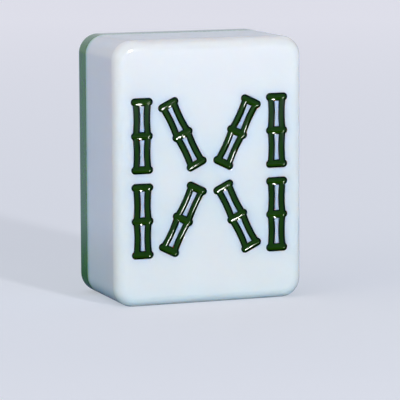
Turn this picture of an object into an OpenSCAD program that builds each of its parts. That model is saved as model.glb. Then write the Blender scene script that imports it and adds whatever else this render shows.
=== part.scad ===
// Mahjong tile of two bonded layers: a white face block and a green back cap.
// The eight of bamboo is cut into the face with a ball-nosed cutter, and each
// stick of it is flooded with paint that dries a little below the face.
// The tile stands on its short edge, face towards -Y, with its origin in the
// middle of the base.

/* [Tile] */
// Width of the tile, side to side
tile_w = 30; // [27:0.5:34]
// Height of the tile as it stands
tile_h = 40; // [33:0.5:48]
// Thickness from face to back, both layers and the film together
tile_t = 19; // [15:0.5:23]
// Radius of the four corners, seen from the front
corner_r = 3; // [2.7:0.1:4.5]
// Fillet round the front face
face_fillet = 1.6; // [0.6:0.1:2.2]
// Fillet round the back face
back_fillet = 2.2; // [0.8:0.1:2.6]

/* [Layers] */
// Thickness of the green back cap
back_t = 5.1; // [4:0.1:7]
// Thickness of the adhesive film between the two layers
film_t = 0.1; // [0.06:0.02:0.2]

/* [Figure] */
// Plain face between the front fillet and the outer sticks, at each side
face_margin = 0.9; // [0.4:0.1:1.6]
// How far the figure's middle lies below the middle of the face
figure_drop = 0.6; // [0:0.1:2]
// Space between the upper and the lower row of sticks
row_gap = 1.4; // [1:0.1:3]
// Space between the two leaning sticks where they meet in the middle
middle_gap = 0.8; // [0.5:0.1:1.4]
// Space between a leaning stick's outer end and the upright stick beside it
side_gap = 0.7; // [0.4:0.1:1.2]

/* [Bamboo stick] */
// Length of a stick over its end knuckles
stick_l = 11.4; // [10:0.1:14]
// Radius of the cutter for the knuckles
knuckle_r = 0.62; // [0.52:0.02:0.8]
// Radius of the cutter for the canes between the knuckles
cane_r = 0.54; // [0.44:0.02:0.64]
// Width of the white slit between a pair of canes, at its narrowest
slit_w = 0.5; // [0.35:0.05:0.7]
// How far a cane bows in towards the slit
cane_bow = 0.16; // [0.1:0.02:0.24]
// How far a knuckle stands out past the canes on each side
knuckle_over = 0.24; // [0.2:0.01:0.34]

/* [Paint] */
// Depth of the paint's edge below the face, where it wets the wall
paint_edge = 0.1; // [0.06:0.02:0.16]
// Depth of the paint's dished middle below the face
paint_dish = 0.3; // [0.2:0.02:0.38]

/* [Hidden] */
$fn = 64;

face_t = tile_t - back_t - film_t;
seam_y = face_t - tile_t / 2;

// From one knuckle's middle to the next one's, along the stick
knuckle_pitch = stick_l / 2 - knuckle_r;

// A cane's middle line, from the stick's, halfway along and at its ends
cane_x = slit_w / 2 + cane_r;
cane_end_x = cane_x + cane_bow;
knuckle_w = 2 * (cane_end_x + cane_r + knuckle_over);

// Places of the sticks on the face, from the figure's middle
figure_z = tile_h / 2 - figure_drop;
row_y = (stick_l + row_gap) / 2;
outer_x = tile_w / 2 - face_fillet - face_margin - knuckle_w / 2;
inner_near_x = (middle_gap + knuckle_w) / 2;
inner_far_x = outer_x - knuckle_w - side_gap;
inner_x = (inner_near_x + inner_far_x) / 2;
lean = asin((inner_far_x - inner_near_x) / (2 * knuckle_pitch));

// A cane is an arc from knuckle to knuckle that bows in towards the slit
bow_r = (pow(knuckle_pitch / 2, 2) + pow(cane_bow, 2)) / (2 * cane_bow);
bow_half_angle = asin(knuckle_pitch / 2 / bow_r);

// Paint dries dished: a circle that meets the wall at the edge depth and
// reaches the dish depth in the middle of a stroke
function dish_half(r) = sqrt(pow(r, 2) - pow(paint_edge, 2));
function dish_r(r) = (pow(dish_half(r), 2) + pow(paint_dish - paint_edge, 2))
    / (2 * (paint_dish - paint_edge));
function dish_lift(r) = dish_r(r) - paint_dish;

// Turns face coordinates, x across, y up the face and z out of it, into the
// tile's own, with the face in front
module on_face() {
    translate([0, -tile_t / 2, 0]) rotate([90, 0, 0]) children();
}

// Half of a layer's section: outer face at y = 0 with its fillet at x = half
module edge_section(half, thick, fillet) {
    translate([0, -thick]) square([half, thick - fillet]);
    translate([0, -thick]) square([half - fillet, thick]);
    translate([half - fillet, -fillet]) intersection() {
        circle(fillet);
        square(fillet);
    }
}

module full_section(half, thick, fillet) {
    edge_section(half, thick, fillet);
    mirror([1, 0]) edge_section(half, thick, fillet);
}

// A layer of the tile in face coordinates, its base on y = 0 and its outer
// face on z = 0, with round corners and one filleted face
module layer(thick, fillet) {
    translate([0, tile_h / 2, 0]) {
        for (sx = [-1, 1], sy = [-1, 1])
            translate([sx * (tile_w / 2 - corner_r), sy * (tile_h / 2 - corner_r), 0])
                rotate_extrude() edge_section(corner_r, thick, fillet);
        rotate([90, 0, 0])
            linear_extrude(tile_h - 2 * corner_r, center = true)
                full_section(tile_w / 2, thick, fillet);
        rotate([90, 0, 90])
            linear_extrude(tile_w - 2 * corner_r, center = true)
                full_section(tile_h / 2, thick, fillet);
    }
}

// The tile's outline as a flat plate, for the film
module outline() {
    for (sx = [-1, 1], sy = [-1, 1])
        translate([sx * (tile_w / 2 - corner_r), sy * (tile_h / 2 - corner_r)]) circle(corner_r);
    square([tile_w, tile_h - 2 * corner_r], center = true);
    square([tile_w - 2 * corner_r, tile_h], center = true);
}

// Half a capsule's section, to be revolved about its own length
module capsule_section(half, r) {
    intersection() {
        union() {
            for (s = [-1, 1]) translate([0, s * half]) circle(r);
            square([2 * r, 2 * half], center = true);
        }
        translate([0, -half - r]) square([r, 2 * (half + r)]);
    }
}

// A straight stroke of a ball-nosed cutter, along x
module straight_stroke(length, r) {
    rotate([0, 90, 0]) rotate_extrude() capsule_section(length / 2 - r, r);
}

// A cane's stroke, along y from knuckle to knuckle, bowed towards x = 0
module cane_stroke(r) {
    translate([cane_x + bow_r, 0, 0])
        rotate([0, 0, 180 - bow_half_angle])
            rotate_extrude(angle = 2 * bow_half_angle) translate([bow_r, 0]) circle(r);
}

// Every stroke of one stick. With dished set the strokes are the hollows that
// drying leaves above the paint.
module stick_strokes(dished) {
    kr = dished ? dish_r(knuckle_r) : knuckle_r;
    cr = dished ? dish_r(cane_r) : cane_r;
    for (k = [-1, 0, 1])
        translate([0, k * knuckle_pitch, dished ? dish_lift(knuckle_r) : 0])
            straight_stroke(knuckle_w - 2 * knuckle_r + 2 * kr, kr);
    for (half = [-1, 1], side = [0, 1])
        translate([0, half * knuckle_pitch / 2, dished ? dish_lift(cane_r) : 0])
            mirror([side, 0, 0]) cane_stroke(cr);
}

// Column 0 to 3 from the left, row 0 above and row 1 below
module at_stick(row, column) {
    side = column < 2 ? -1 : 1;
    upright = column == 0 || column == 3;
    up = row == 0 ? 1 : -1;
    translate([side * (upright ? outer_x : inner_x), figure_z + up * row_y, 0])
        rotate([0, 0, upright ? 0 : -side * up * lean]) children();
}

module face_block() {
    color("#E6ECF2") on_face() difference() {
        layer(face_t, face_fillet);
        for (row = [0, 1], column = [0:3]) at_stick(row, column) stick_strokes(false);
    }
}

module back_cap() {
    color("#3F7D2A") translate([0, tile_t / 2, 0])
        rotate([90, 0, 180]) layer(back_t, back_fillet);
}

module bond_film() {
    color("#B9CF8A") translate([0, seam_y + film_t, tile_h / 2])
        rotate([90, 0, 0]) linear_extrude(film_t) outline();
}

module paint(row, column) {
    color("#1E5A26") on_face() at_stick(row, column) difference() {
        stick_strokes(false);
        stick_strokes(true);
    }
}

face_block();
back_cap();
bond_film();
paint(0, 0);  // paint_top_left
paint(0, 1);  // paint_top_mid_left
paint(0, 2);  // paint_top_mid_right
paint(0, 3);  // paint_top_right
paint(1, 0);  // paint_bottom_left
paint(1, 1);  // paint_bottom_mid_left
paint(1, 2);  // paint_bottom_mid_right
paint(1, 3);  // paint_bottom_right
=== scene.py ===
"""The looks of a two-layer mahjong tile: a white face block engraved with the
eight of bamboo, dark green paint dished in its grooves, and a green back cap.
The tile stands on a pale floor with its face towards -Y."""

import math

import bmesh
import bpy
from mathutils import Matrix, Vector
from mathutils.kdtree import KDTree


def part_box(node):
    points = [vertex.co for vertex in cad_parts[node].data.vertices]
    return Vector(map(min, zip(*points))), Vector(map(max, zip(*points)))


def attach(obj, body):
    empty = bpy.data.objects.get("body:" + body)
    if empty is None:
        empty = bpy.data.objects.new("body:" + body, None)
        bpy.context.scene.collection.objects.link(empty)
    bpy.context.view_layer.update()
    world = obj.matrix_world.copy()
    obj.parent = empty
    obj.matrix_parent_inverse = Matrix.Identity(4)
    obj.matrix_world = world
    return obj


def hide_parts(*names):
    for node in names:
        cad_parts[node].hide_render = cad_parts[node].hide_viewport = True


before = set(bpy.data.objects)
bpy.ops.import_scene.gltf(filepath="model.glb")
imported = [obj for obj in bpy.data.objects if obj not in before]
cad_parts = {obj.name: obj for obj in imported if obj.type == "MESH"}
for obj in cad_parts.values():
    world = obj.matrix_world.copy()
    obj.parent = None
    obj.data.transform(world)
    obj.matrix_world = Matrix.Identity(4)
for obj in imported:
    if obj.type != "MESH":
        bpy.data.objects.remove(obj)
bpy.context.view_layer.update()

MM = 0.001                 # pieces are modelled in millimetres and brought to metres last

# Sizes of the body, as the real tile has them
CORNER_R = 3.0        # the four corners, seen from the front
FACE_FILLET = 1.6     # round the front face
BACK_FILLET = 2.2     # round the back face
SEAM_EASE = 0.05      # the hair's breadth by which polishing softens each layer at the seam

# Sizes of a bamboo stick
KNUCKLE_R = 0.62      # half the width of a knuckle's groove
CANE_R = 0.54         # half the width of a cane's groove
SLIT_W = 0.5          # the white slit between two canes
CANE_BOW = 0.16       # how far a cane bows towards the slit
KNUCKLE_OVER = 0.24   # a knuckle's length past the canes
STICK_L = 11.4        # over the end knuckles
MIDDLE_GAP = 0.8      # between the two leaning sticks

# Sizes of the groove's lip and of the paint in it
KNUCKLE_LIP = 0.05         # polishing rounds a knuckle groove's edge by this much
CANE_LIP = 0.045           # and a cane groove's by this
LIP_ROOM = 1.2             # a groove's round section ends this many lips below the face
KNUCKLE_ROOF = 0.3         # how far a knuckle's cutter goes on in front of the face
CANE_ROOF = 0.36           # and a cane's
PAINT_DROP = 0.06          # the paint's edge below the face
DISH_CURVE = 0.55          # the dish's depth over the square of the groove's

# How finely round shapes are cut
CORNER_STEPS = 18
FILLET_STEPS = 14
SEAM_STEPS = 2
STROKE_STEPS = 40          # all the way round a stroke's section
KNUCKLE_LIP_STEPS = 3
CANE_LIP_STEPS = 4
CANE_STEPS = 12            # along a cane
MERGE = 0.0005             # vertices nearer than this are one
TOUCH = 0.005              # a point this near to a plane lies on it

# Edges that bend by more than these degrees stay sharp
BLOCK_SHARP = 65
BACK_SHARP = 40
PAINT_SHARP = 60


def box_mm(node):
    """The lowest and highest corner of a CAD node, in millimetres."""
    lo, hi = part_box(node)
    return lo / MM, hi / MM


face_lo, face_hi = box_mm("face_block")
back_lo, back_hi = box_mm("back_cap")
face_y = face_lo.y

PITCH = STICK_L / 2 - KNUCKLE_R            # from one knuckle to the next
CANE_X = SLIT_W / 2 + CANE_R               # a cane's middle line from the stick's, halfway along
CANE_END_X = CANE_X + CANE_BOW             # and at its ends
KNUCKLE_W = 2 * (CANE_END_X + CANE_R + KNUCKLE_OVER)
NEAR_X = (MIDDLE_GAP + KNUCKLE_W) / 2      # a leaning stick's inner end from the tile's middle


# Small tools for working by hand in edit mode

def take(*objects):
    """Selects these objects alone and makes the first one active."""
    if bpy.context.object and bpy.context.object.mode != "OBJECT":
        bpy.ops.object.mode_set(mode="OBJECT")
    bpy.ops.object.select_all(action="DESELECT")
    for o in objects:
        o.select_set(True)
    bpy.context.view_layer.objects.active = objects[0]


def named(name):
    """The primitive that was just added, named and with its place in its mesh."""
    piece = bpy.context.object
    piece.name = name
    piece.data.name = name
    bpy.ops.object.transform_apply(location=True, rotation=True, scale=True)
    return piece


def pick(kind, wanted):
    """In edit mode, selects the vertices or the edges for which wanted is true."""
    mesh = bpy.context.object.data
    bpy.ops.mesh.select_mode(type=kind)
    bpy.ops.mesh.select_all(action="DESELECT")
    shape = bmesh.from_edit_mesh(mesh)
    shape.normal_update()
    elements = {"VERT": shape.verts, "EDGE": shape.edges}[kind]
    for element in elements:
        if wanted(element):
            element.select_set(True)
    shape.select_flush_mode()
    bmesh.update_edit_mesh(mesh)


def modify(piece, kind, **settings):
    """Adds a modifier with these settings and applies it."""
    take(piece)
    modifier = piece.modifiers.new(kind.title(), kind)
    for key, value in settings.items():
        setattr(modifier, key, value)
    bpy.ops.object.modifier_apply(modifier=modifier.name)


def combine(piece, other, operation):
    """A boolean of two closed shapes; the other one is used up."""
    modify(piece, "BOOLEAN", operation=operation, object=other, solver="EXACT")
    bpy.data.objects.remove(other)


def copy_of(piece, name):
    """A copy with a mesh of its own."""
    twin = piece.copy()
    twin.data = piece.data.copy()
    twin.name = name
    twin.data.name = name
    bpy.context.scene.collection.objects.link(twin)
    return twin


# The body's two layers

def rounded_layer(name, lo, hi, outer_y, fillet):
    """A slab with round corners whose outer face, at outer_y, has a fillet. Its
    inner face, at the seam, has only its edge softened."""
    bpy.ops.mesh.primitive_cube_add(size=1, location=(lo + hi) / 2, scale=hi - lo)
    layer = named(name)
    bpy.ops.object.mode_set(mode="EDIT")
    pick("EDGE", lambda e: abs((e.verts[0].co - e.verts[1].co).y) > (hi - lo).y / 2)
    bpy.ops.mesh.bevel(offset=CORNER_R, segments=CORNER_STEPS, profile=0.5, affect="EDGES")
    pick("EDGE", lambda e: all(abs(v.co.y - outer_y) < TOUCH for v in e.verts))
    bpy.ops.mesh.bevel(offset=fillet, segments=FILLET_STEPS, profile=0.5, affect="EDGES")
    inner_y = lo.y + hi.y - outer_y
    pick("EDGE", lambda e: all(abs(v.co.y - inner_y) < TOUCH for v in e.verts))
    bpy.ops.mesh.bevel(offset=SEAM_EASE, segments=SEAM_STEPS, profile=0.5, affect="EDGES")
    bpy.ops.object.mode_set(mode="OBJECT")
    return layer


# One bamboo stick as the cutter makes it: upright, its middle line on x = 0,
# the face at y = 0 and the groove at y > 0. A stroke's section is a half circle
# with a small round lip, and goes on past the face as a straight-sided roof.

def half_section(radius, lip, lip_steps, roof):
    """Half of a stroke's section, from its floor round to the middle of its roof.
    Knuckles and canes have lips of their own, so that no two edges coincide."""
    bpy.ops.mesh.primitive_circle_add(vertices=STROKE_STEPS, radius=radius)
    section = named("stroke")
    bpy.ops.object.mode_set(mode="EDIT")
    pick("VERT", lambda v: v.co.x < -TOUCH or v.co.y < lip * LIP_ROOM)
    bpy.ops.mesh.delete(type="VERT")
    wall = math.sqrt(radius ** 2 - lip ** 2)
    turn = math.pi / 2 / lip_steps
    path = [Vector((wall + lip - lip * math.cos(turn * k), lip - lip * math.sin(turn * k), 0))
            for k in range(lip_steps + 1)]
    # The lip's last step runs on past the face, so that the cut leaves no sliver there
    path[-1] += (path[-1] - path[-2]) / 2
    path.append(Vector((path[-1].x, -roof, 0)))
    path.append(Vector((0, -roof, 0)))
    here = min((v.co.copy() for v in bmesh.from_edit_mesh(section.data).verts), key=lambda c: c.y)
    pick("VERT", lambda v: (v.co - here).length < MERGE)
    for there in path:
        bpy.ops.mesh.extrude_vertices_move(TRANSFORM_OT_translate={"value": there - here})
        here = there
    bpy.ops.mesh.select_all(action="SELECT")
    return section


def tidy_solid():
    """In edit mode: merges doubled vertices and turns all faces outwards."""
    bpy.ops.mesh.select_all(action="SELECT")
    bpy.ops.mesh.remove_doubles(threshold=MERGE)
    bpy.ops.mesh.normals_make_consistent(inside=False)
    bpy.ops.object.mode_set(mode="OBJECT")


def knuckle_stroke(height):
    """A round-ended stroke across the stick: two half turns and the band between them."""
    end = Vector((KNUCKLE_W / 2 - KNUCKLE_R, 0, height))
    stroke = half_section(KNUCKLE_R, KNUCKLE_LIP, KNUCKLE_LIP_STEPS, KNUCKLE_ROOF)
    bpy.ops.transform.rotate(value=math.pi / 2, orient_axis="Y", center_override=(0, 0, 0))
    bpy.ops.transform.translate(value=end)
    bpy.ops.mesh.spin(steps=STROKE_STEPS // 2, angle=-math.pi, center=end, axis=(0, 1, 0))
    bpy.ops.mesh.select_all(action="SELECT")
    bpy.ops.mesh.remove_doubles(threshold=MERGE)
    bpy.ops.mesh.duplicate()
    bpy.ops.transform.rotate(value=math.pi, orient_axis="Y", center_override=(0, 0, height))
    pick("EDGE", lambda e: e.is_boundary)
    bpy.ops.mesh.bridge_edge_loops()
    tidy_solid()
    return stroke


def cane_stroke(height, side):
    """A stroke along an arc from knuckle to knuckle, bowed towards the slit."""
    bow_r = ((PITCH / 2) ** 2 + CANE_BOW ** 2) / (2 * CANE_BOW)
    half_angle = math.asin(PITCH / 2 / bow_r)
    centre = Vector((side * (CANE_X + bow_r), 0, height))
    stroke = half_section(CANE_R, CANE_LIP, CANE_LIP_STEPS, CANE_ROOF)
    bpy.ops.mesh.duplicate()
    bpy.ops.transform.resize(value=(-1, 1, 1), center_override=(0, 0, 0))
    bpy.ops.mesh.select_all(action="SELECT")
    bpy.ops.mesh.remove_doubles(threshold=MERGE)
    bpy.ops.transform.translate(value=(side * CANE_X, 0, height))
    bpy.ops.transform.rotate(
        value=side * half_angle, orient_axis="Y", center_override=centre)
    bpy.ops.mesh.edge_face_add()
    bpy.ops.mesh.spin(
        steps=CANE_STEPS, angle=-side * 2 * half_angle, center=centre, axis=(0, 1, 0))
    tidy_solid()
    return stroke


def stick_cutter():
    """All strokes of a stick as one closed shape."""
    cutter = knuckle_stroke(0)
    cutter.name = "stick_cutter"
    for up in (-1, 1):
        combine(cutter, knuckle_stroke(up * PITCH), "UNION")
        for side in (-1, 1):
            combine(cutter, cane_stroke(up * PITCH / 2, side), "UNION")
    return cutter


def note_rim_distance(paint):
    """Keeps on each point of the paint how far in from its edge it lies, in millimetres."""
    edge = [v.co for v in paint.data.vertices if abs(v.co.y - PAINT_DROP) < MERGE]
    nearest = KDTree(len(edge))
    for index, co in enumerate(edge):
        nearest.insert(co, index)
    nearest.balance()
    far = paint.data.attributes.new("rim_distance", "FLOAT", "POINT")
    for v in paint.data.vertices:
        far.data[v.index].value = nearest.find(v.co)[2]


def stick_paint(cutter):
    """Paint in a stick's groove: the groove's floor below, and above it the same
    floor drawn up to a shallow dish, round in section, which meets it at the rim."""
    paint = copy_of(cutter, "stick_paint")
    take(paint)
    edge = Vector((0, PAINT_DROP, 0))
    bpy.ops.object.mode_set(mode="EDIT")
    bpy.ops.mesh.select_all(action="SELECT")
    bpy.ops.mesh.bisect(
        plane_co=edge, plane_no=(0, 1, 0), clear_inner=True, clear_outer=False,
        use_fill=False, threshold=MERGE)
    bpy.ops.mesh.select_all(action="SELECT")
    bpy.ops.mesh.duplicate()
    top = bmesh.from_edit_mesh(paint.data)
    for v in top.verts:
        if v.select:
            v.co.y = PAINT_DROP + DISH_CURVE * (v.co.y - PAINT_DROP) ** 2
    bmesh.update_edit_mesh(paint.data)
    bpy.ops.mesh.flip_normals()
    bpy.ops.mesh.select_all(action="SELECT")
    bpy.ops.mesh.remove_doubles(threshold=MERGE)
    bpy.ops.object.mode_set(mode="OBJECT")
    note_rim_distance(paint)
    return paint


def stick_place(node):
    """Where a stick lies, from the middle of its node's box. A leaning stick's inner
    end is NEAR_X from the tile's middle line and a PITCH from the stick's own middle,
    which gives the lean."""
    lo, hi = box_mm(node)
    middle = (lo + hi) / 2
    side = math.copysign(1, middle.x)
    up = math.copysign(1, middle.z - FIGURE_Z)
    leans = "_mid_" in node
    lean = math.asin((abs(middle.x) - NEAR_X) / PITCH) if leans else 0
    place = Matrix.Translation((middle.x, face_y, middle.z))
    return place @ Matrix.Rotation(side * up * lean, 4, "Y")


PAINT_NODES = sorted(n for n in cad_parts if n.startswith("paint_"))
FIGURE_Z = sum(sum(box_mm(n), Vector()).z / 2 for n in PAINT_NODES) / len(PAINT_NODES)


def cut_figure(block, cutter):
    """Cuts all eight sticks into the block."""
    cutters = []
    for node in PAINT_NODES:
        one = copy_of(cutter, "cut_" + node)
        one.data.transform(stick_place(node))
        cutters.append(one)
    take(*cutters)
    bpy.ops.object.join()
    combine(block, cutters[0], "DIFFERENCE")


def to_metres(piece):
    """Brings a piece to metres, with its place and size in its mesh."""
    take(piece)
    bpy.ops.transform.resize(value=(MM, MM, MM), center_override=(0, 0, 0))
    bpy.ops.object.transform_apply(location=True, rotation=False, scale=True)


def smooth(piece, sharp, weighted=False):
    """Brings a piece to metres and shades it smooth, but for edges that bend more
    than the sharp angle. Weighted, its flat faces shade flat right up to a fillet."""
    to_metres(piece)
    bpy.ops.object.shade_smooth_by_angle(angle=math.radians(sharp))
    if weighted:
        modify(piece, "WEIGHTED_NORMAL", keep_sharp=True)


# The pieces that stand in for the CAD's solids

cutter = stick_cutter()
paint_master = stick_paint(cutter)

white_block = rounded_layer("white_block", face_lo, face_hi, face_lo.y, FACE_FILLET)
cut_figure(white_block, cutter)
smooth(white_block, BLOCK_SHARP, weighted=True)
bpy.data.objects.remove(cutter)

green_back = rounded_layer("green_back", back_lo, back_hi, back_hi.y, BACK_FILLET)
smooth(green_back, BACK_SHARP, weighted=True)

fills = []
for node in PAINT_NODES:
    fill = copy_of(paint_master, node.replace("paint_", "enamel_"))
    fill.data.transform(stick_place(node))
    smooth(fill, PAINT_SHARP)
    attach(fill, "root")
    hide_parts(node)
    fills.append(fill)
bpy.data.objects.remove(paint_master)

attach(white_block, "root")
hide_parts("face_block")
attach(green_back, "root")
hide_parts("back_cap")


# Effects that several finishes share

HAZE_PER_METRE = 140.0     # patches of the haze that polishing leaves


def group(name, inputs, outputs):
    """An empty node group with named sockets; gives it with its inlet and outlet."""
    tree = bpy.data.node_groups.new(name, "ShaderNodeTree")
    for label, kind in inputs:
        tree.interface.new_socket(label, in_out="INPUT", socket_type="NodeSocket" + kind)
    for label, kind in outputs:
        tree.interface.new_socket(label, in_out="OUTPUT", socket_type="NodeSocket" + kind)
    return tree, tree.nodes.new("NodeGroupInput"), tree.nodes.new("NodeGroupOutput")


def add(tree, kind, settings=None, **links):
    """Adds a node. A link is named for its socket, or i0, i1 and so on for a socket
    by number. It is another node's socket to join, or the value to hold."""
    node = tree.nodes.new("ShaderNode" + kind)
    for key, value in (settings or {}).items():
        setattr(node, key, value)
    for label, value in links.items():
        if label[0] == "i" and label[1:].isdigit():
            socket = node.inputs[int(label[1:])]
        else:
            socket = node.inputs[label.replace("_", " ")]
        if isinstance(value, bpy.types.NodeSocket):
            tree.links.new(value, socket)
        else:
            socket.default_value = value
    return node


def ramp(tree, value, start, end, low=0.0, high=1.0, curve="LINEAR"):
    """Goes from low to high while the value goes from start to end."""
    spread = add(tree, "MapRange", {"interpolation_type": curve}, Value=value, From_Min=start,
                 From_Max=end, To_Min=low, To_Max=high)
    return spread.outputs["Result"]


def blend(tree, share, first, second, how="MIX"):
    """The first colour, with a share of the second one."""
    mix = add(tree, "Mix", {"data_type": "RGBA", "blend_type": how}, i0=share, i6=first, i7=second)
    return mix.outputs[2]


def maths(tree, operation, first, second):
    return add(tree, "Math", {"operation": operation}, i0=first, i1=second).outputs["Value"]


def cloud_group():
    """A moulded resin's faint clouds: the colour wavers between two of its shades."""
    tree, inlet, outlet = group(
        "resin_clouds",
        [("Vector", "Vector"), ("Light", "Color"), ("Deep", "Color"), ("Per Metre", "Float")],
        [("Color", "Color")])
    noise = add(tree, "TexNoise", Vector=inlet.outputs["Vector"], Scale=inlet.outputs["Per Metre"],
                Detail=4.0, Roughness=0.55)
    share = ramp(tree, noise.outputs["Fac"], 0.35, 0.65)
    colour = blend(tree, share, inlet.outputs["Light"], inlet.outputs["Deep"])
    tree.links.new(colour, outlet.inputs["Color"])
    return tree


def polish_group():
    """What a polishing wheel and then hands leave: fine lines that run one way, and
    a soft haze. Along Lines is the place already turned and stretched along them."""
    tree, inlet, outlet = group(
        "polish_marks",
        [("Vector", "Vector"), ("Along Lines", "Vector"), ("Smooth", "Float"), ("Rough", "Float")],
        [("Roughness", "Float"), ("Lines", "Float")])
    lines = add(tree, "TexNoise", Vector=inlet.outputs["Along Lines"], Scale=1.0, Detail=3.0,
                Roughness=0.6)
    haze = add(tree, "TexNoise", Vector=inlet.outputs["Vector"], Scale=HAZE_PER_METRE, Detail=3.0,
               Roughness=0.6)
    both = maths(tree, "MULTIPLY", lines.outputs["Fac"], haze.outputs["Fac"])
    roughness = ramp(tree, both, 0.12, 0.42, inlet.outputs["Smooth"], inlet.outputs["Rough"])
    tree.links.new(roughness, outlet.inputs["Roughness"])
    tree.links.new(lines.outputs["Fac"], outlet.inputs["Lines"])
    return tree


CLOUDS = cloud_group()
POLISH = polish_group()


def finish_of(name, **sockets):
    """A new material with its Principled shader's own values set. Gives it with its
    nodes, its shader and the place on the piece."""
    made = bpy.data.materials.new(name)
    made.use_nodes = True
    tree = made.node_tree
    shader = tree.nodes["Principled BSDF"]
    for key, value in sockets.items():
        shader.inputs[key.replace("_", " ")].default_value = value
    where = add(tree, "TexCoord").outputs["Object"]
    return made, tree, shader, where


def clouds(tree, where, light, deep, per_metre):
    """The shared clouds, between these shades."""
    node = add(tree, "Group", {"node_tree": CLOUDS}, Vector=where, Light=light, Deep=deep,
               Per_Metre=per_metre)
    return node.outputs["Color"]


def polish(tree, where, turn, spacing, length, smooth, rough):
    """The shared polishing marks: the lines' turn about Y, their spacing and their
    length, and the roughness at the smoothest and at the roughest place."""
    along = add(tree, "Mapping", {"vector_type": "TEXTURE"}, Vector=where, Rotation=(0.0, turn, 0.0),
                Scale=(spacing, spacing, length))
    node = add(tree, "Group", {"node_tree": POLISH}, Vector=where,
               Along_Lines=along.outputs["Vector"], Smooth=smooth, Rough=rough)
    return node.outputs["Roughness"], node.outputs["Lines"]


def relief(tree, shader, height, depth):
    """Lets a pattern stand out from a finish by this depth, in metres."""
    bump = add(tree, "Bump", Height=height, Distance=depth, Strength=1.0)
    tree.links.new(bump.outputs["Normal"], shader.inputs["Normal"])


# The finishes. Each wavers between a light and a deep shade of its colour.

WHITE_LIGHT = (0.862, 0.874, 0.914, 1)
WHITE_DEEP = (0.849, 0.861, 0.903, 1)
WHITE_AT_SEAM = (0.62, 0.82, 0.68, 1)
GREEN_LIGHT = (0.048, 0.205, 0.014, 1)
GREEN_DEEP = (0.042, 0.185, 0.012, 1)
GREEN_HAZED = (0.11, 0.28, 0.08, 1)
PAINT_LIGHT = (0.0105, 0.048, 0.001, 1)
PAINT_DEEP = (0.0085, 0.04, 0.0006, 1)
# Painted shade: the nearly black colour along the paint's edge
PAINT_RIM_SHADE = (0.0004, 0.005, 0.0015, 1)
GLUE_LIGHT = (0.30, 0.46, 0.16, 1)
GLUE_DEEP = (0.22, 0.38, 0.11, 1)

# How far red, green and blue light travel in the white resin, in millimetres, and
# how far from the seam the green behind it shows through
LIGHT_TRAVEL = (4.5, 2.4, 1.0)
SEAM_TINT = 1.3

# How far in from its edge, in millimetres, the painted shade along the paint's edge
# begins to lighten, and how far in the paint has its full colour
RIM_SHADE_FADE = (0.14, 0.38)

# The green is satin where its normal points backwards: the share of the normal at
# which the satin begins, and the share at which it is full
SATIN_FADE = (0.93, 0.995)

# Polishing lines: their turn in radians, then their spacing and length in metres
WHITE_LINES = (0.5, 0.001, 0.025)
GREEN_LINES = (math.radians(52), 0.00035, 0.03)

# Ripples to the metre in the paint's surface
RIPPLES_PER_METRE = 900.0

# Depths in metres of the white's lines, of the green back's and of the paint's ripples
WHITE_RELIEF = 0.0000001
GREEN_RELIEF = 0.000006
PAINT_RELIEF = 0.000006


def white_finish():
    """Cool white moulding resin, polished all over and a little translucent, so
    that the green behind it shows through close to the seam."""
    made, tree, shader, where = finish_of(
        "white_resin", IOR=1.5, Subsurface_Weight=1.0, Subsurface_Scale=MM,
        Subsurface_Radius=LIGHT_TRAVEL)
    shader.subsurface_method = "BURLEY"
    roughness, lines = polish(tree, where, *WHITE_LINES, smooth=0.06, rough=0.12)
    tree.links.new(roughness, shader.inputs["Roughness"])
    relief(tree, shader, lines, WHITE_RELIEF)
    depth = add(tree, "SeparateXYZ", Vector=where).outputs["Y"]
    seam = ramp(tree, depth, (face_hi.y - SEAM_TINT) * MM, face_hi.y * MM, curve="SMOOTHSTEP")
    resin = clouds(tree, where, WHITE_LIGHT, WHITE_DEEP, per_metre=170.0)
    tree.links.new(blend(tree, seam, resin, WHITE_AT_SEAM), shader.inputs["Base Color"])
    return made


def green_finish():
    """Leaf green resin: polished sides and fillets, and a satin back whose fine
    lines run across it from corner to corner and leave it a little paler."""
    made, tree, shader, where = finish_of("green_resin", IOR=1.5)
    backwards = add(tree, "SeparateXYZ", Vector=add(tree, "NewGeometry").outputs["Normal"]).outputs["Y"]
    satin = ramp(tree, backwards, *SATIN_FADE, curve="SMOOTHSTEP")
    polished, lines = polish(tree, where, *GREEN_LINES, smooth=0.07, rough=0.13)
    brushed = ramp(tree, lines, 0.3, 0.7, 0.22, 0.46)
    roughness = add(tree, "Mix", i0=satin, i2=polished, i3=brushed)
    tree.links.new(roughness.outputs[0], shader.inputs["Roughness"])
    share = ramp(tree, satin, 0.0, 1.0, 0.1, 1.0)
    relief(tree, shader, maths(tree, "MULTIPLY", lines, share), GREEN_RELIEF)
    hazed = maths(tree, "MULTIPLY", ramp(tree, lines, 0.5, 0.72, 0.0, 0.3), satin)
    resin = clouds(tree, where, GREEN_LIGHT, GREEN_DEEP, per_metre=260.0)
    tree.links.new(blend(tree, hazed, resin, GREEN_HAZED), shader.inputs["Base Color"])
    return made


def enamel_finish():
    """Glossy dark green enamel. Along its edge, where it climbs the groove's wall,
    its colour is painted nearly black as painted shade."""
    made, tree, shader, where = finish_of(
        "green_enamel", IOR=1.5, Roughness=0.04, Specular_IOR_Level=0.3)
    rim_distance = add(tree, "Attribute", {"attribute_name": "rim_distance"}).outputs["Fac"]
    # Painted shade: nearly black at the rim, then the paint's own colour further in
    inner = ramp(tree, rim_distance, *RIM_SHADE_FADE, curve="SMOOTHSTEP")
    middle = clouds(tree, where, PAINT_LIGHT, PAINT_DEEP, per_metre=600.0)
    tree.links.new(blend(tree, inner, PAINT_RIM_SHADE, middle), shader.inputs["Base Color"])
    ripples = add(tree, "TexNoise", Vector=where, Scale=RIPPLES_PER_METRE, Detail=2.0)
    relief(tree, shader, ripples.outputs["Fac"], PAINT_RELIEF)
    return made


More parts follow.
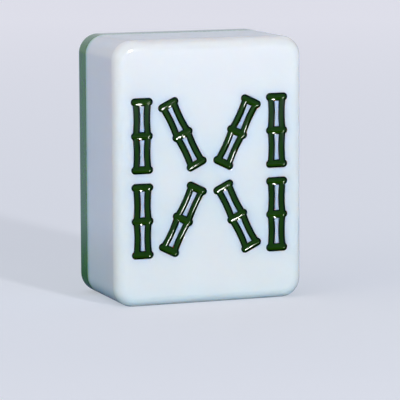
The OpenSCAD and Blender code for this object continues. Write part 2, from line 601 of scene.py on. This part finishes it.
def glue_finish():
    """The film's polished edge: clear adhesive, tinted by the layers beside it."""
    made, tree, shader, where = finish_of(
        "clear_adhesive", IOR=1.48, Roughness=0.2, Subsurface_Weight=0.2, Subsurface_Scale=0.4 * MM)
    tint = clouds(tree, where, GLUE_LIGHT, GLUE_DEEP, per_metre=700.0)
    tree.links.new(tint, shader.inputs["Base Color"])
    return made


def dress(piece, made):
    """Gives a piece its finish."""
    piece.data.materials.clear()
    piece.data.materials.append(made)


enamel = enamel_finish()
dress(white_block, white_finish())
dress(green_back, green_finish())
for fill in fills:
    dress(fill, enamel)
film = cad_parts["bond_film"]
film.material_slots[0].material = glue_finish()


# Camera, at the photograph's viewing angle

CAMERA_YAW = 20.25         # degrees to the right of looking along +Y
CAMERA_PITCH = 7.74        # degrees down
CAMERA_ROLL = -0.25
CAMERA_DISTANCE = 0.42718
CAMERA_AIM = Vector((0.00186, 0, 0.01441))
FOCAL_SHARE = 2776.29 / 400    # focal length as a share of the picture's width
SENSOR = 36.0
CLOSEST_SEEN = 0.01
FARTHEST_SEEN = 20

camera_data = bpy.data.cameras.new("camera")
camera_data.sensor_width = SENSOR
camera_data.lens = FOCAL_SHARE * SENSOR
camera_data.clip_start = CLOSEST_SEEN
camera_data.clip_end = FARTHEST_SEEN
camera = bpy.data.objects.new("camera", camera_data)
bpy.context.scene.collection.objects.link(camera)
turn = (Matrix.Rotation(math.radians(-CAMERA_YAW), 4, "Z")
        @ Matrix.Rotation(math.radians(90 - CAMERA_PITCH), 4, "X")
        @ Matrix.Rotation(math.radians(CAMERA_ROLL), 4, "Z"))
camera.matrix_world = (Matrix.Translation(CAMERA_AIM) @ turn
                       @ Matrix.Translation((0, 0, CAMERA_DISTANCE)))
bpy.context.scene.camera = camera


# Floor. The camera sees a pale table that glows a little, more so far away. Light
# that goes on to the tile meets a pale floor too, except round the tile and in front
# of its face, where it is dark, so that little comes up from there. In the tile's
# gloss the open floor also glows, the more the farther it is, to meet the room.

FLOOR_SIZE = 6
DARK_SPOT = (0.035, -0.1, 0.0)
SEEN_FLOOR = (0.55, 0.56, 0.6, 1)
OPEN_FLOOR = (0.62, 0.67, 0.8, 1)
DARK_FLOOR = (0.03, 0.33, 0.43, 1)
GLOSS_FLOOR = (0.2, 0.24, 0.45, 1)       # the dark part as the tile's gloss shows it
NEAR_GLOW = (0.365, 0.38, 0.42, 1)       # seen by the camera
FAR_GLOW = (0.5, 0.492, 0.535, 1)
GLOSS_GLOW = (0.09, 0.1, 0.28, 1)        # shown by the tile's gloss
GLOSS_HORIZON = (0.22, 0.24, 0.3, 1)

# Distances on the floor, in metres, where a change begins and where it is complete
PAST_SPOT = (0.08, 0.2)
PAST_TILE = (0.025, 0.1)
SEEN_FAR = (0.05, 0.6)
GLOSS_FAR = (0.2, 1.2)


def floor_finish():
    made, tree, shader, where = finish_of("pale_table", Roughness=0.9, Specular_IOR_Level=0.0)
    away = add(tree, "VectorMath", {"operation": "LENGTH"}, i0=where).outputs["Value"]
    from_spot = add(tree, "VectorMath", {"operation": "DISTANCE"}, i0=where, i1=DARK_SPOT).outputs["Value"]
    is_open = maths(tree, "MINIMUM", ramp(tree, from_spot, *PAST_SPOT, curve="SMOOTHSTEP"),
                    ramp(tree, away, *PAST_TILE, curve="SMOOTHSTEP"))
    path = add(tree, "LightPath")
    in_camera = path.outputs["Is Camera Ray"]
    in_gloss = path.outputs["Is Glossy Ray"]
    dark = blend(tree, in_gloss, DARK_FLOOR, GLOSS_FLOOR)
    unseen = blend(tree, is_open, dark, OPEN_FLOOR)
    colour = blend(tree, in_camera, unseen, SEEN_FLOOR)
    seen_glow = blend(tree, ramp(tree, away, *SEEN_FAR), NEAR_GLOW, FAR_GLOW)
    gloss_glow = blend(tree, ramp(tree, away, *GLOSS_FAR), GLOSS_GLOW, GLOSS_HORIZON)
    glow = blend(tree, in_camera, gloss_glow, seen_glow)
    strength = maths(tree, "MAXIMUM", in_camera, maths(tree, "MULTIPLY", in_gloss, is_open))
    tree.links.new(colour, shader.inputs["Base Color"])
    tree.links.new(glow, shader.inputs["Emission Color"])
    tree.links.new(strength, shader.inputs["Emission Strength"])
    return made


bpy.ops.mesh.primitive_plane_add(size=FLOOR_SIZE, location=(0, 0, 0))
floor = named("floor")
dress(floor, floor_finish())


# Light: an even room that is dark in front of the face, soft windows in it, and two
# small lamps in front, whose glints show in the paint and on the fillets. The camera
# sees a plain backdrop instead of the room.

ROOM_LIGHT = (0.21, 0.21, 0.21, 1)
UNLIT = (0, 0, 0, 1)
BACKDROP = (0.73, 0.74, 0.81, 1)
DIM_DIRECTION = (0.2, -0.97, 0.1)
DIM_EDGE = 60              # degrees from its middle to where the dark part ends
DIM_CORE = 35              # and to where it begins to fade

# Each window's direction, the angles at which it ends and at which it is full, and its light
WINDOWS = [
    ((-0.6, 0.8, 0.1), 45, 10, (0.3, 0.35, 0.5, 1)),
    ((0.34, 0.93, 0.1), 45, 10, (0.42, 0.47, 0.56, 1)),
    ((0.0, 0.6, 0.8), 45, 10, (0.3, 0.36, 0.5, 1)),
    ((-1.0, 0.0, 0.2), 50, 10, (0.56, 0.56, 0.53, 1)),
    ((-0.92, -0.38, 0.2), 35, 5, (1.15, 1.13, 1.05, 1)),
]

TILE_MIDDLE = Vector((0, 0, 0.02))
LAMP_DISTANCE = 0.9
LAMP_COLOUR = (1.0, 0.99, 0.99)


def lobe(tree, way, direction, edge, core):
    """1 within core degrees of a direction, 0 past edge degrees, smooth between."""
    towards = add(tree, "VectorMath", {"operation": "DOT_PRODUCT"}, i0=way,
                  i1=Vector(direction).normalized())
    return ramp(tree, towards.outputs["Value"], math.cos(math.radians(edge)),
                math.cos(math.radians(core)), curve="SMOOTHSTEP")


def room():
    world = bpy.data.worlds.new("room")
    bpy.context.scene.world = world
    world.use_nodes = True
    tree = world.node_tree
    way = add(tree, "TexCoord").outputs["Generated"]
    light = blend(tree, lobe(tree, way, DIM_DIRECTION, DIM_EDGE, DIM_CORE), ROOM_LIGHT, UNLIT)
    for direction, edge, core, window in WINDOWS:
        light = blend(tree, lobe(tree, way, direction, edge, core), light, window, how="ADD")
    in_camera = add(tree, "LightPath").outputs["Is Camera Ray"]
    tree.links.new(blend(tree, in_camera, light, BACKDROP), tree.nodes["Background"].inputs["Color"])


def lamp(name, towards, size, power):
    """A round lamp in this direction from the tile's middle, facing it."""
    data = bpy.data.lights.new(name, "AREA")
    data.shape = "DISK"
    data.size = size
    data.energy = power
    data.color = LAMP_COLOUR
    o = bpy.data.objects.new(name, data)
    bpy.context.scene.collection.objects.link(o)
    o.location = TILE_MIDDLE + Vector(towards).normalized() * LAMP_DISTANCE
    o.rotation_euler = (TILE_MIDDLE - o.location).to_track_quat("-Z", "Y").to_euler()


room()
lamp("lamp_high", towards=(0.22, -0.95, 0.22), size=0.08, power=4.95)
lamp("lamp_low", towards=(0.0, -0.99, 0.03), size=0.05, power=1.0)

bpy.context.scene.view_settings.view_transform = "Standard"
